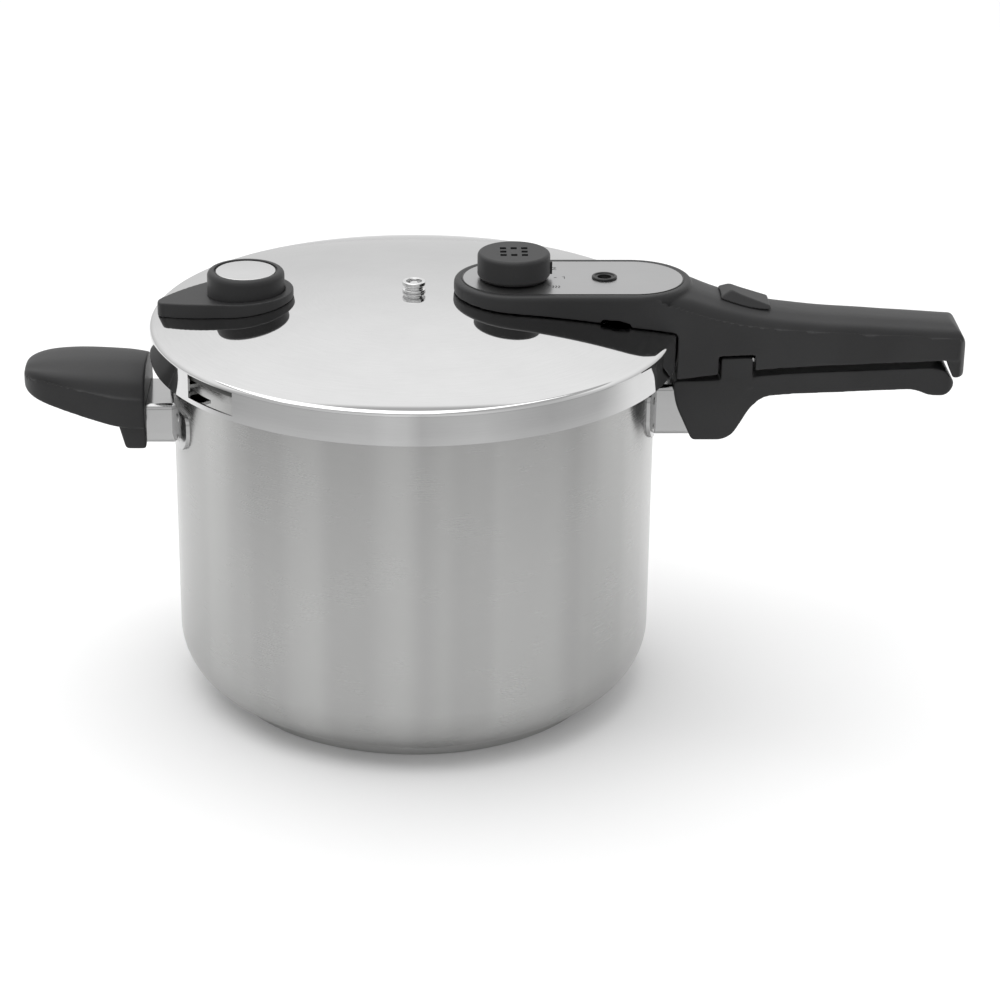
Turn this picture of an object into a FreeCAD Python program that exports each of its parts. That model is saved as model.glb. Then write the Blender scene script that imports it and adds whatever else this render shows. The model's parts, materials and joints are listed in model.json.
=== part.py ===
import FreeCAD, Part
import math
import os

# Stovetop pressure cooker with a bayonet lid, a long two-part handle and a short helper handle.
# Millimetres. The origin is the centre of the base's underside, +Z is up, and +X points along the
# long handle. Every piece is one STEP file in parts/, placed where it sits when the lid is locked.

os.makedirs("parts", exist_ok=True)

V = FreeCAD.Vector
ORIGIN = V(0, 0, 0)
UP = V(0, 0, 1)

# Pot
BODY_R = 110.0
WALL = 1.0
BASE_R = 90.0
BASE_TOP = 4.2
BASE_SKIN = 0.7
CORNER_R = 26.0
LIP_R = 112.4
LIP_TOP = 171.5
LIP_THICK = 1.3
POT_LUG_R = 117.6
POT_LUG_Z = 165.3
POT_LUG_THICK = 1.5
POT_LUG_SPAN = 20.0

# Lid
LID_R = 120.0
LID_WALL = 1.0
APEX = 189.8
DOME_R = 588.0
SHOULDER_R = 2.5
SKIRT_BOTTOM = 162.6
LID_LUG_R = 113.3
LID_LUG_SPAN = 36.0
LID_LUG_THICK = 1.4
LUG_COUNT = 6
LUG_PHASE = -99.0
WINDOW_CENTRE = -137.5
WINDOW_SPAN = 14.5
WINDOW_Z = (164.8, 175.6)

# Parts that stand on the lid, by their distance along +X from its centre
VALVE_X = 45.0
INDICATOR_X = 86.0
GRIP_X = -76.0
SAFETY_X = 0.0

# Lid handle
HEAD_R = 27.0
HEAD_END_X = 98.5
HEAD_TOP = 196.0
PLATE_R = 23.0
PLATE_THICK = 1.4
ROOF_UNDER = 192.6
SHELL_WALL = 3.0
GRIP_END_X = 249.6
HOOK_X = 242.6
LID_GAP = 0.4
NECK_TILT = 11.5
LOCK_TRAVEL = 6.0

# Lower handle, brackets and helper handle
ROOT_HALF_Y = 20.0
ARM_TIP_X = 246.2
TAB_X = (138.4, 152.6)
TAB_Y = (-19.8, -11.8)
TAB_TOP = 164.2
BRACKET_HALF_Y = 18.0
SHEET = 1.5
MAIN_BRACKET_Z = (126.5, 150.5)
HELPER_BRACKET_Z = (122.4, 141.2)
HELPER_TIP_X = -177.6
HELPER_ROOT_X = -121.8

# Fits and threads
RUNNING = 0.06
SCREW_R = 2.0


def at(plane, a, b):
    """A point from two coordinates in the side plane (xz), the plan (xy) or the end plane (yz)."""
    return {"xz": V(a, 0, b), "xy": V(a, b, 0), "yz": V(0, a, b)}[plane]


def rounded_face(plane, corners):
    """A flat face. Each corner is (a, b, radius), and a radius of 0 leaves it sharp."""
    points = [at(plane, a, b) for a, b, _ in corners]
    count = len(corners)
    turns = []
    for i, (_, _, radius) in enumerate(corners):
        corner = points[i]
        if radius == 0:
            turns.append((corner, None, corner))
            continue
        before = (points[i - 1] - corner).normalize()
        after = (points[(i + 1) % count] - corner).normalize()
        half = before.getAngle(after) / 2
        reach = radius / math.tan(half)
        centre = corner + (before + after).normalize() * (radius / math.sin(half))
        middle = centre + (corner - centre).normalize() * radius
        turns.append((corner + before * reach, middle, corner + after * reach))
    edges = []
    for i, (enter, middle, leave) in enumerate(turns):
        if middle is not None:
            edges.append(Part.Arc(enter, middle, leave).toShape())
        following = turns[(i + 1) % count][0]
        if (following - leave).Length > 1e-6:
            edges.append(Part.makeLine(leave, following))
    return Part.Face(Part.Wire(edges))


def sharp_face(plane, corners):
    """A flat face with straight sides."""
    return rounded_face(plane, [(a, b, 0) for a, b in corners])


def prism_y(face, half):
    """A side-view outline made `half` thick each way along Y."""
    return face.translated(V(0, -half, 0)).extrude(V(0, 2 * half, 0))


def spin(corners, x=0.0):
    """Turns a side-view outline of (radius, z, corner radius) about the vertical axis at x."""
    return rounded_face("xz", corners).revolve(ORIGIN, UP, 360).translated(V(x, 0, 0))


def drum(radius, low, high, x=0.0, y=0.0):
    """A plain vertical cylinder."""
    return Part.makeCylinder(radius, high - low, V(x, y, low))


def tube(outer, inner, low, high, x=0.0, y=0.0):
    """A plain vertical tube."""
    return drum(outer, low, high, x, y).cut(drum(inner, low - 1, high + 1, x, y))


def block(x, y, z):
    """A box from three (low, high) pairs."""
    return Part.makeBox(x[1] - x[0], y[1] - y[0], z[1] - z[0], V(x[0], y[0], z[0]))


def sector(inner, outer, low, high, centre, span):
    """A piece of a flat ring, `span` degrees wide about the plan angle `centre`."""
    wedge = Part.makeCylinder(outer, high - low, V(0, 0, low), UP, span)
    wedge = wedge.cut(drum(inner, low - 1, high + 1))
    return wedge.rotated(ORIGIN, UP, centre - span / 2)


def hexagon(across_flats, low, high, x=0.0):
    """A vertical hexagonal prism."""
    corner_r = across_flats / math.sqrt(3)
    ring = [60 * i for i in range(6)]
    corners = [(x + corner_r * math.cos(math.radians(a)), corner_r * math.sin(math.radians(a))) for a in ring]
    return sharp_face("xy", corners).translated(V(0, 0, low)).extrude(V(0, 0, high - low))


def stadium(radius, low, high, left=VALVE_X, right=HEAD_END_X):
    """A vertical prism with two round ends, centred on X = left and X = right."""
    middle = block((left, right), (-radius, radius), (low, high))
    return middle.fuse([drum(radius, low, high, left), drum(radius, low, high, right)]).removeSplitter()


def screw(seat, direction, shank_r, length, head_r, head_high):
    """A cap screw with a hexagon socket. `seat` is the middle of its head's underside."""
    shank = Part.makeCylinder(shank_r, length, ORIGIN, UP)
    head = Part.makeCylinder(head_r, head_high, V(0, 0, -head_high), UP)
    socket = hexagon(head_r, -head_high - 1, -head_high * 0.4)
    piece = shank.fuse(head).removeSplitter().cut(socket)
    piece.Placement = FreeCAD.Placement(V(*seat), FreeCAD.Rotation(UP, V(*direction)))
    return piece


def coil(centre, direction, mean_r, wire_r, length, turns):
    """A closed-end compression spring that starts at `centre` and runs along `direction`."""
    path = Part.makeHelix((length - 2 * wire_r) / turns, length - 2 * wire_r, mean_r)
    ring = Part.Wire([Part.makeCircle(wire_r, V(mean_r, 0, 0), V(0, 1, 0))])
    spring = Part.Wire(path.Edges).makePipeShell([ring], True, True)
    spring = spring.translated(V(0, 0, wire_r))
    spring.Placement = FreeCAD.Placement(V(*centre), FreeCAD.Rotation(UP, V(*direction))).multiply(spring.Placement)
    return spring


def joined(pieces):
    """One solid from overlapping or touching pieces."""
    return pieces[0].fuse(pieces[1:]).removeSplitter()


def save(name, shape):
    """Writes one piece, after checking that it is sound."""
    solids = shape.Solids
    shape = solids[0] if len(solids) == 1 else Part.makeCompound(solids)
    print(f"{name:24s} solids {len(solids)}  valid {shape.isValid()}  volume {shape.Volume / 1000:9.3f} cm3")
    shape.exportStep(f"parts/{name}.step")


def dome_z(radius, drop=0.0):
    """Height of the lid's outer surface at a distance from its centre, or of a parallel one below it."""
    return APEX - DOME_R + math.sqrt((DOME_R - drop) ** 2 - radius**2)


def lid_side(offset, foot):
    """The solid under the lid's outer surface moved outward by `offset`, down to Z = foot."""
    outer = LID_R + offset
    round_r = SHOULDER_R + offset
    sphere_r = DOME_R + offset
    centre_z = APEX - DOME_R + math.sqrt((sphere_r - round_r) ** 2 - (outer - round_r) ** 2)
    to_shoulder = V(outer - round_r, 0, centre_z - (APEX - DOME_R))
    tangent = V(0, 0, APEX - DOME_R) + to_shoulder * (sphere_r / to_shoulder.Length)
    lean = to_shoulder.getAngle(UP)
    half_lean = (math.pi / 2 + lean) / 2
    shoulder = V(outer - round_r + round_r * math.sin(half_lean), 0, centre_z + round_r * math.cos(half_lean))
    mid_r = tangent.x / 2
    edges = [
        Part.Arc(V(0, 0, APEX + offset), V(mid_r, 0, dome_z(mid_r, -offset)), tangent).toShape(),
        Part.Arc(tangent, shoulder, V(outer, 0, centre_z)).toShape(),
        Part.makeLine(V(outer, 0, centre_z), V(outer, 0, foot)),
        Part.makeLine(V(outer, 0, foot), V(0, 0, foot)),
        Part.makeLine(V(0, 0, foot), V(0, 0, APEX + offset)),
    ]
    return Part.Face(Part.Wire(edges)).revolve(ORIGIN, UP, 360)


# ---------------------------------------------------------------- pot and its base

def lug_angles():
    """Plan angles of the bayonet lugs' middles."""
    return [LUG_PHASE + i * 360 / LUG_COUNT for i in range(LUG_COUNT)]


def pot_body():
    """Deep-drawn body with a turned-out lip and six bayonet lugs under it."""
    inner_r = BODY_R - WALL
    lip_low = LIP_TOP - LIP_THICK
    shell = spin([
        (0, BASE_TOP, 0),
        (BODY_R, BASE_TOP, CORNER_R),
        (BODY_R, lip_low, 0.8),
        (LIP_R, lip_low, 0.5),
        (LIP_R, LIP_TOP, 0.6),
        (inner_r, LIP_TOP, 1.2),
        (inner_r, BASE_TOP + WALL, CORNER_R - WALL),
        (0, BASE_TOP + WALL, 0),
    ])
    lugs = [
        sector(inner_r + 0.2, POT_LUG_R, POT_LUG_Z, POT_LUG_Z + POT_LUG_THICK, angle, POT_LUG_SPAN)
        for angle in lug_angles()
    ]
    return joined([shell] + lugs)


def base_cap():
    """Steel capsule pressed over the aluminium core."""
    skin_r = BASE_R - BASE_SKIN
    return spin([
        (0, 0, 0),
        (BASE_R, 0, 1.6),
        (BASE_R, BASE_TOP - 0.1, 0.25),
        (skin_r, BASE_TOP - 0.1, 0.25),
        (skin_r, BASE_SKIN, 0.9),
        (0, BASE_SKIN, 0),
    ])


def base_core():
    """Heat-spreading disc between the capsule and the body."""
    skin_r = BASE_R - BASE_SKIN
    body_floor = spin([(0, BASE_TOP, 0), (BODY_R, BASE_TOP, CORNER_R), (BODY_R, 60, 0), (0, 60, 0)])
    core = spin([(0, BASE_SKIN, 0), (skin_r, BASE_SKIN, 0.9), (skin_r, BASE_TOP + 0.4, 0), (0, BASE_TOP + 0.4, 0)])
    return core.cut(body_floor)


# ---------------------------------------------------------------- brackets and the pot's two handles

def bracket(side, low, high, end_x, flange_span, flange_rise):
    """Welded sheet box that carries a handle. side is 1 for +X and -1 for -X."""
    pot = drum(BODY_R, 0, 200)
    outer = block((90, end_x), (-BRACKET_HALF_Y, BRACKET_HALF_Y), (low, high))
    upright = [edge for edge in outer.Edges if abs(edge.tangentAt(edge.FirstParameter).x) > 0.9]
    outer = outer.makeFillet(2.5, upright)
    inner_y = BRACKET_HALF_Y - SHEET
    hollow = block((80, end_x - SHEET), (-inner_y, inner_y), (low + SHEET, high - SHEET))
    bolt = Part.makeCylinder(SCREW_R + 0.4, 20, V(end_x - 10, 0, (low + high) / 2), V(1, 0, 0))
    reach_y = BODY_R * math.sin(math.radians(flange_span))
    wing = [
        (-reach_y, low + flange_rise, 11),
        (reach_y, low + flange_rise, 11),
        (reach_y, high + flange_rise, 4),
        (-reach_y, high + flange_rise, 4),
    ]
    foot = rounded_face("yz", wing).translated(V(60, 0, 0)).extrude(V(80, 0, 0))
    foot = foot.common(tube(BODY_R + SHEET, BODY_R, low - 10, high + 20))
    piece = joined([outer, foot]).cut(joined([pot, hollow, bolt]))
    return piece if side > 0 else piece.mirror(ORIGIN, V(1, 0, 0))


def main_bracket():
    """Bracket under the long handle, with the hole for the handle's upright screw."""
    low, high = MAIN_BRACKET_Z
    piece = bracket(1, low, high, 138.0, 19.0, 2.5)
    return piece.cut(drum(SCREW_R, low - 1, low + SHEET + 1, 129.0))


def helper_bracket():
    """Bracket under the helper handle."""
    low, high = HELPER_BRACKET_Z
    return bracket(-1, low, high, 129.0, 25.0, 5.0)


def lower_handle():
    """Lower half of the long handle: root block, arm and the stop tab that the lid handle closes on."""
    side = rounded_face("xz", [
        (116.8, 153.4, 1.5),
        (118.4, 142.0, 30),
        (126.2, 124.9, 2.5),
        (143.2, 124.9, 10),
        (152.2, 140.2, 16),
        (158.0, 145.3, 10),
        (226.5, 147.9, 16),
        (234.0, 144.8, 12),
        (241.5, 144.6, 7),
        (ARM_TIP_X, 149.2, 3.8),
        (240.6, 156.8, 7),
        (234.0, 158.2, 12),
        (158.0, 155.4, 40),
        (140.0, 153.9, 20),
    ])
    plan = rounded_face("xy", [
        (110, -ROOT_HALF_Y, 0),
        (148, -ROOT_HALF_Y, 20),
        (170, -16.6, 40),
        (ARM_TIP_X, -15.6, 7),
        (ARM_TIP_X, 15.6, 7),
        (170, 16.6, 40),
        (148, ROOT_HALF_Y, 20),
        (110, ROOT_HALF_Y, 0),
    ]).translated(V(0, 0, 100)).extrude(V(0, 0, 80))
    solid = prism_y(side, 30).common(plan)
    tab = block(TAB_X, TAB_Y, (150, TAB_TOP))
    latch_pocket = block((147.2, TAB_X[1] + 1), (-15.5, -12.7), (159.6, 163.4))
    low, high = MAIN_BRACKET_Z
    socket = block((100, 138), (-BRACKET_HALF_Y, BRACKET_HALF_Y), (low, high))
    along = [edge for edge in socket.Edges if abs(edge.tangentAt(edge.FirstParameter).x) > 0.9]
    socket = socket.makeFillet(2.5, along)
    screw_way = drum(4.3, 120, low - 0.5, 129.0).fuse(drum(SCREW_R + 0.3, 120, low + 1, 129.0))
    return joined([solid, tab]).cut(joined([latch_pocket, socket, screw_way]))


def helper_handle():
    """Short duck-bill handle opposite the long one."""
    stations = [
        (HELPER_ROOT_X, 24.0, 131.6, 138.0, 157.6),
        (-128.0, 24.8, 132.2, 138.6, 158.6),
        (-136.0, 25.3, 133.6, 139.8, 159.2),
        (-145.0, 25.5, 136.4, 142.2, 159.4),
        (-154.0, 25.0, 139.4, 144.8, 159.3),
        (-162.0, 23.6, 141.9, 147.0, 158.8),
        (-169.0, 20.6, 143.8, 148.6, 158.0),
        (-174.0, 16.2, 145.4, 149.8, 156.8),
        (-176.8, 11.0, 147.0, 150.8, 155.4),
        (HELPER_TIP_X, 6.5, 148.4, 151.2, 154.2),
    ]
    bill = loft(stations)
    low, high = HELPER_BRACKET_Z
    web = rounded_face("xz", [
        (HELPER_ROOT_X, low - 1.6, 1.2),
        (HELPER_ROOT_X, 150, 0),
        (-138.0, 150, 0),
        (-135.2, 136.0, 3),
        (-131.2, low - 1.6, 2),
    ])
    solid = joined([bill, prism_y(web, ROOT_HALF_Y + 1.0)])
    socket = block((-129.0, -100), (-BRACKET_HALF_Y, BRACKET_HALF_Y), (low, high))
    along = [edge for edge in socket.Edges if abs(edge.tangentAt(edge.FirstParameter).x) > 0.9]
    socket = socket.makeFillet(2.5, along)
    middle = (low + high) / 2
    way = Part.makeCylinder(SCREW_R + 0.4, 20, V(-140, 0, middle), V(1, 0, 0))
    head_way = Part.makeCylinder(4.4, 40, V(-131.0, 0, middle), V(-1, 0, 0))
    return solid.cut(joined([socket, way, head_way]))


def section(x, half_y, bottom, side_top, crown):
    """Closed outline at one station of a handle: flat bottom, straight sides and a crowned top."""
    power = 0.82
    steps = [math.pi * i / 10 for i in range(11)]
    top = []
    for angle in steps:
        reach = math.copysign(abs(math.cos(angle)) ** power, math.cos(angle))
        lift = math.sin(angle) ** power if 0 < angle < math.pi - 1e-9 else 0.0
        top.append(V(x, half_y * reach, side_top + (crown - side_top) * lift))
    curve = Part.BSplineCurve()
    curve.interpolate(top, InitialTangent=V(0, 0, 1), FinalTangent=V(0, 0, -1))
    right, left = V(x, half_y, bottom), V(x, -half_y, bottom)
    return Part.Wire([
        curve.toShape(),
        Part.makeLine(top[-1], left),
        Part.makeLine(left, right),
        Part.makeLine(right, top[0]),
    ])


def loft(stations):
    """A smooth solid through handle sections."""
    return Part.makeLoft([section(*station) for station in stations], True, False)


# ---------------------------------------------------------------- sealing ring and lid

def sealing_ring():
    """Silicone ring between the pot's lip and the lid, with two lips that open inward."""
    return spin([
        (106.5, 172.0, 0.6),
        (118.3, 172.0, 1.2),
        (118.3, 174.6, 1.0),
        (113.0, 176.9, 0.6),
        (107.0, 177.9, 0.5),
        (106.5, 175.9, 0.3),
        (113.6, 174.4, 0.5),
        (106.8, 173.6, 0.3),
    ])


def lid_shell():
    """Domed lid with its skirt, bayonet lugs, safety window and the holes for everything it carries."""
    inner = lid_side(-LID_WALL, SKIRT_BOTTOM - 5)
    shell = lid_side(0, SKIRT_BOTTOM).cut(inner)
    lug_low = SKIRT_BOTTOM + 0.3
    lugs = [
        sector(LID_LUG_R, LID_R - 0.3, lug_low, lug_low + LID_LUG_THICK, angle, LID_LUG_SPAN)
        for angle in lug_angles()
    ]
    holes = [
        drum(7.0, 150, 200, VALVE_X),
        drum(4.6, 150, 200, INDICATOR_X),
        drum(4.6, 150, 200, SAFETY_X),
        drum(2.7, 150, 200, GRIP_X),
    ]
    half = LID_R * math.radians(WINDOW_SPAN) / 2
    low, high = WINDOW_Z
    pane = rounded_face("yz", [(-half, low, 1.8), (half, low, 1.8), (half, high, 1.8), (-half, high, 1.8)])
    window = pane.translated(V(LID_R - 6, 0, 0)).extrude(V(12, 0, 0)).rotated(ORIGIN, UP, WINDOW_CENTRE)
    return joined([shell] + lugs).cut(joined(holes + [window]))


def under_lid(solid):
    """What is left of a solid below the lid's sheet."""
    return solid.common(lid_side(-LID_WALL, 100))


def over_lid(solid, gap=0.0):
    """What is left of a solid above the lid's outer surface, `gap` clear of it."""
    return solid.cut(lid_side(gap, 100))


# ---------------------------------------------------------------- lid handle

# Grip and neck at places along X: half width, bottom, top of the straight side and crown.
GRIP_SHAPE = [
    (88.0, 26.2, 155.8, 187.0, 195.0),
    (112.0, 25.4, 155.8, 184.5, 195.6),
    (120.0, 24.2, 155.8, 182.5, 195.2),
    (128.0, 22.4, 156.2, 179.5, 193.2),
    (135.0, 21.2, 156.6, 177.5, 190.0),
    (146.0, 19.8, 157.4, 175.0, 186.6),
    (158.0, 18.7, 158.5, 173.2, 184.0),
    (180.0, 17.9, 159.7, 171.4, 181.2),
    (256.0, 16.8, 162.6, 167.6, 176.2),
]
GRIP_STEP = 12.0


def grip_station(x):
    """One evenly spaced station of the grip, between the two nearest rows of its shape."""
    pairs = zip(GRIP_SHAPE, GRIP_SHAPE[1:])
    low, high = next((a, b) for a, b in pairs if x <= b[0])
    share = (x - low[0]) / (high[0] - low[0])
    return tuple(a + (b - a) * share for a, b in zip(low, high))


GRIP_STATIONS = [grip_station(88.0 + GRIP_STEP * i) for i in range(15)]


def handle_blank(grow):
    """The grip and neck, made larger by `grow` all round."""
    return loft([
        (x, half_y + grow, bottom, side_top + grow / 2, crown + grow)
        for x, half_y, bottom, side_top, crown in GRIP_STATIONS
    ])


def grip_layer(inset, width_share, height_share, left, right):
    """A flat-sided block inside the grip: its plan follows the grip, its roof stays below the crown."""
    near = [(x, (half_y - inset) * width_share) for x, half_y, _, _, _ in GRIP_STATIONS]
    far = [(x, -y) for x, y in reversed(near)]
    roof = [
        (x, side_top + (crown - side_top) * height_share)
        for x, _, _, side_top, crown in GRIP_STATIONS
    ]
    floor = [(roof[-1][0], 120.0), (roof[0][0], 120.0)]
    plan = sharp_face("xy", near + far).translated(V(0, 0, 110)).extrude(V(0, 0, 100))
    return plan.common(prism_y(sharp_face("xz", roof + floor), 40)).common(block((left, right), (-40, 40), (110, 220)))


def grip_end():
    """Side and plan outlines that round off the far end of the grip."""
    side = prism_y(rounded_face("xz", [
        (60, 140, 0),
        (GRIP_END_X, 140, 0),
        (GRIP_END_X, 176.9, 13),
        (60, 206.0, 0),
    ]), 40)
    plan = rounded_face("xy", [(60, -40, 0), (170, -40, 0), (GRIP_END_X, -16.9, 11), (GRIP_END_X, 16.9, 11),
                               (170, 40, 0), (60, 40, 0)])
    return side.common(plan.translated(V(0, 0, 120)).extrude(V(0, 0, 100)))


def lid_handle():
    """Upper half of the long handle with the valve head in one moulding, hollow from below."""
    head = stadium(HEAD_R, 156.2, HEAD_TOP)
    rim = [edge for edge in head.Edges if abs(edge.BoundBox.ZMin - HEAD_TOP) < 0.01 and edge.BoundBox.ZLength < 0.01]
    head = head.makeFillet(1.9, rim)
    grip = handle_blank(0).common(grip_end())
    hook = prism_y(rounded_face("xz", [
        (HOOK_X, 166.0, 0), (HOOK_X - 2.2, 161.5, 2), (HOOK_X - 1.0, 158.4, 1), (HOOK_X + 1.2, 153.6, 0.8),
        (GRIP_END_X, 153.6, 1.0), (GRIP_END_X, 166.0, 0),
    ]), 40).common(block((240, 260), (-16.4, 16.4), (150, 170))).common(grip_end())
    solid = joined([head, grip, hook])
    head_hollow = stadium(HEAD_R - SHELL_WALL - 1.0, 150, ROOF_UNDER)
    shares = [(1.0, 0.0), (0.82, 0.55), (0.64, 0.72)]
    grip_hollow = joined([grip_layer(SHELL_WALL, wide, high, 123.5, GRIP_END_X - 5.4) for wide, high in shares])
    bosses = [
        block((0, 60.0), (-40, 40), (180, 190.0)),
        drum(4.6, 171.2, 200, 134.0),
        drum(3.6, 163.4, 200, 184.0),
        drum(3.6, 165.0, 200, 228.0),
        block((172.6, 174.6), (-8, 8), (172.0, 181.5)),
    ]
    bosses = [boss.common(solid) for boss in bosses]
    solid = joined([solid.cut(joined([head_hollow, grip_hollow]))] + bosses)
    recess = stadium(PLATE_R, HEAD_TOP - PLATE_THICK, HEAD_TOP + 1)
    cuts = [
        recess,
        drum(9.4, ROOF_UNDER - 1, 200, VALVE_X),
        drum(7.0, 170, 195, VALVE_X),
        drum(4.9, ROOF_UNDER - 1, 200, INDICATOR_X),
        block((TAB_X[0] - 1.3, TAB_X[1] + 1.2), (-30, -15), (140, TAB_TOP + 1.3)),
        block((118, 124.5), (-9.6, 9.6), (163.0, 173.2)),
        drum(1.6, 165, 182.0, 134.0),
        drum(1.2, 160, 171.5, 184.0),
        drum(1.2, 160, 171.5, 228.0),
        slope_block((145.2, 159.6), (-3.3, 3.3), (-12, 12)),
        rounded_face("xz", [(82.5, 176, 0), (98.0, 176, 0), (96.5, 183.0, 0.5), (91.5, 184.6, 2), (83.5, 185.2, 0.8)])
        .translated(V(0, -30, 0)).extrude(V(0, 8, 0)),
    ]
    return over_lid(solid.cut(joined(cuts)), LID_GAP)


def tilted(solid):
    """Turns a solid drawn along X with its middle plane at Z = 0 onto the slope of the neck."""
    pivot = V(150.0, 0, 0)
    raised = solid.translated(V(0, 0, 186.0))
    return raised.rotated(pivot + V(0, 0, 186.0), V(0, 1, 0), NECK_TILT)


def slope_block(x, y, z):
    """A box that lies along the slope of the neck, with Z counted from the slope's middle plane."""
    return tilted(block(x, y, z))


def handle_cover():
    """Plate that closes the grip from below, around the stop tab."""
    slab = prism_y(sharp_face("xz", [(124.0, 157.2), (245.8, 163.2), (245.8, 165.2), (124.0, 159.2)]), 40)
    plate = grip_layer(SHELL_WALL + 0.1, 1.0, 0.0, 124.0, GRIP_END_X - 6.2).common(slab)
    tab_way = block((TAB_X[0] - 1.6, 170.0), (-30, -7.4), (140, 180))
    screws = [drum(1.6, 150, 180, 184.0), drum(1.6, 150, 180, 228.0), drum(4.4, 150, 180, 134.0)]
    return plate.cut(joined([tab_way] + screws))


def handle_cover_screws():
    """Two screws that hold the cover."""
    first = screw((184.0, 0, 159.8), (0, 0, 1), 1.2, 10.0, 2.6, 1.5)
    second = screw((228.0, 0, 161.95), (0, 0, 1), 1.2, 8.6, 2.6, 1.5)
    return Part.makeCompound([first, second])


def control_plate():
    """Brushed plate let into the head, with holes for the knob and the pressure indicator."""
    plate = stadium(PLATE_R - 0.05, HEAD_TOP - PLATE_THICK, HEAD_TOP)
    return plate.cut(joined([drum(9.4, 190, 200, VALVE_X), drum(4.9, 190, 200, INDICATOR_X)]))


def lid_bracket():
    """Angle welded to the skirt that carries the lid handle's neck."""
    upright = sector(LID_R, LID_R + SHEET, 164.0, 172.6, 0, 8.6)
    arm = block((LID_R + 0.6, 141.0), (-9.0, 9.0), (169.6, 171.1))
    arm = arm.cut(drum(LID_R + 0.2, 160, 180))
    return joined([upright, arm]).cut(drum(2.0, 160, 180, 134.0))


def lid_handle_screw():
    """Screw from below, through the bracket and into the neck."""
    return screw((134.0, 0, 169.6), (0, 0, 1), 1.6, 12.2, 3.6, 2.6)


def valve_body():
    """Regulator valve body: flange above the head's web, threaded tube through the lid."""
    body = spin([
        (2.6, 177.6, 0), (6.9, 177.6, 0.6), (6.9, 190.0, 0), (9.0, 190.0, 0), (9.0, 190.9, 0.2),
        (5.5, 190.9, 0.3), (5.5, 194.4, 0.3), (4.2, 194.4, 0), (4.2, 184.0, 0), (2.6, 184.0, 0),
    ], VALVE_X)
    return body


def valve_nut():
    """Nut that clamps the valve body and the head to the lid."""
    return hexagon(20.0, 179.4, 183.6, VALVE_X).cut(drum(6.9, 170, 190, VALVE_X))


def conical_washer(x, outer, inner, low):
    """Rubber washer between a nut and the domed underside of the lid."""
    return under_lid(tube(outer, inner, low, 192, x))


def valve_spring():
    """Spring that sets the cooking pressure."""
    return coil((VALVE_X, 0, 186.3), (0, 0, 1), 3.35, 0.35, 8.4, 5)


def valve_piston():
    """Regulator piston: a guided rod with a collar that presses the seal on its seat."""
    return spin([
        (0, 178.6, 0), (2.0, 178.6, 0.5), (2.0, 185.0, 0), (3.9, 185.0, 0), (3.9, 186.2, 0.2),
        (2.5, 186.2, 0), (2.5, 199.0, 0.6), (0, 199.0, 0),
    ], VALVE_X)


def piston_seal():
    """Rubber ring on the piston's seat."""
    return tube(3.9, 2.0, 184.05, 185.0, VALVE_X)


def knob_core():
    """Cam sleeve inside the knob: held under the roof, guides the piston and backs its spring."""
    return spin([
        (5.8, 191.2, 0), (11.0, 191.2, 0.3), (11.0, 192.3, 0.3), (9.0, 192.3, 0), (9.0, 204.6, 0.4),
        (0, 204.6, 0), (0, 201.6, 0), (2.5 + RUNNING, 201.6, 0), (2.5 + RUNNING, 194.9, 0), (5.8, 194.9, 0),
    ], VALVE_X)


def knob_cap():
    """Control knob with eight square steam vents in its top and a pointer rib."""
    bottom, top = 196.7, 208.3
    cap = spin([
        (9.0, bottom, 0), (15.2, bottom, 0), (16.4, bottom + 1.4, 0.8), (16.4, top, 1.7),
        (0, top, 0), (0, 204.6, 0), (9.0, 204.6, 0),
    ], VALVE_X)
    pointer = block((VALVE_X + 15.8, VALVE_X + 17.3), (-1.3, 1.3), (bottom + 1.4, bottom + 7.0))
    pitch, half = 4.8, 1.4
    vents = [
        block((VALVE_X + i * pitch - half, VALVE_X + i * pitch + half),
              (j * pitch - half, j * pitch + half), (top - 2.6, top + 1))
        for i in (-1, 0, 1) for j in (-1, 0, 1) if (i, j) != (0, 0)
    ]
    return joined([cap, pointer]).cut(Part.makeCompound(vents))


# ---------------------------------------------------------------- indicator and safety valve

def indicator_bezel():
    """Flanged ring in the plate that frames the indicator pin."""
    return spin([
        (3.1, ROOF_UNDER, 0), (4.9, ROOF_UNDER, 0), (4.9, HEAD_TOP, 0), (5.5, HEAD_TOP, 0),
        (5.5, HEAD_TOP + 0.5, 0.3), (3.1, HEAD_TOP + 0.5, 0.3),
    ], INDICATOR_X)


def indicator_housing():
    """Threaded guide of the indicator pin, through the lid."""
    return spin([
        (2.2 + RUNNING, 176.6, 0), (4.5, 176.6, 0.4), (4.5, 185.9, 0), (7.0, 185.9, 0.3),
        (7.0, 187.2, 0.3), (2.2 + RUNNING, 187.2, 0),
    ], INDICATOR_X)


def indicator_pin():
    """Pin that rises with the pressure, with a coloured head."""
    return spin([
        (0, 168.9, 0), (3.9, 168.9, 0.4), (3.9, 170.1, 0.4), (2.2, 170.1, 0), (2.2, 188.8, 0),
        (2.9, 188.8, 0.2), (2.9, 195.0, 0.6), (0, 195.0, 0),
    ], INDICATOR_X)


def safety_body():
    """Chromed body of the safety valve in the middle of the lid."""
    return spin([
        (1.2, 181.2, 0), (4.5, 181.2, 0.4), (4.5, APEX, 0), (5.3, APEX, 0.3), (5.3, 190.9, 0.3),
        (4.3, 191.4, 0.3), (4.3, 192.3, 0.3), (5.3, 192.8, 0.4), (5.3, 194.6, 0.5), (3.5, 194.6, 0.3),
        (3.5, 193.0, 0), (2.0 + RUNNING, 193.0, 0), (2.0 + RUNNING, 192.0, 0), (3.4, 192.0, 0),
        (3.4, 182.6, 0), (1.2, 182.6, 0),
    ])


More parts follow.
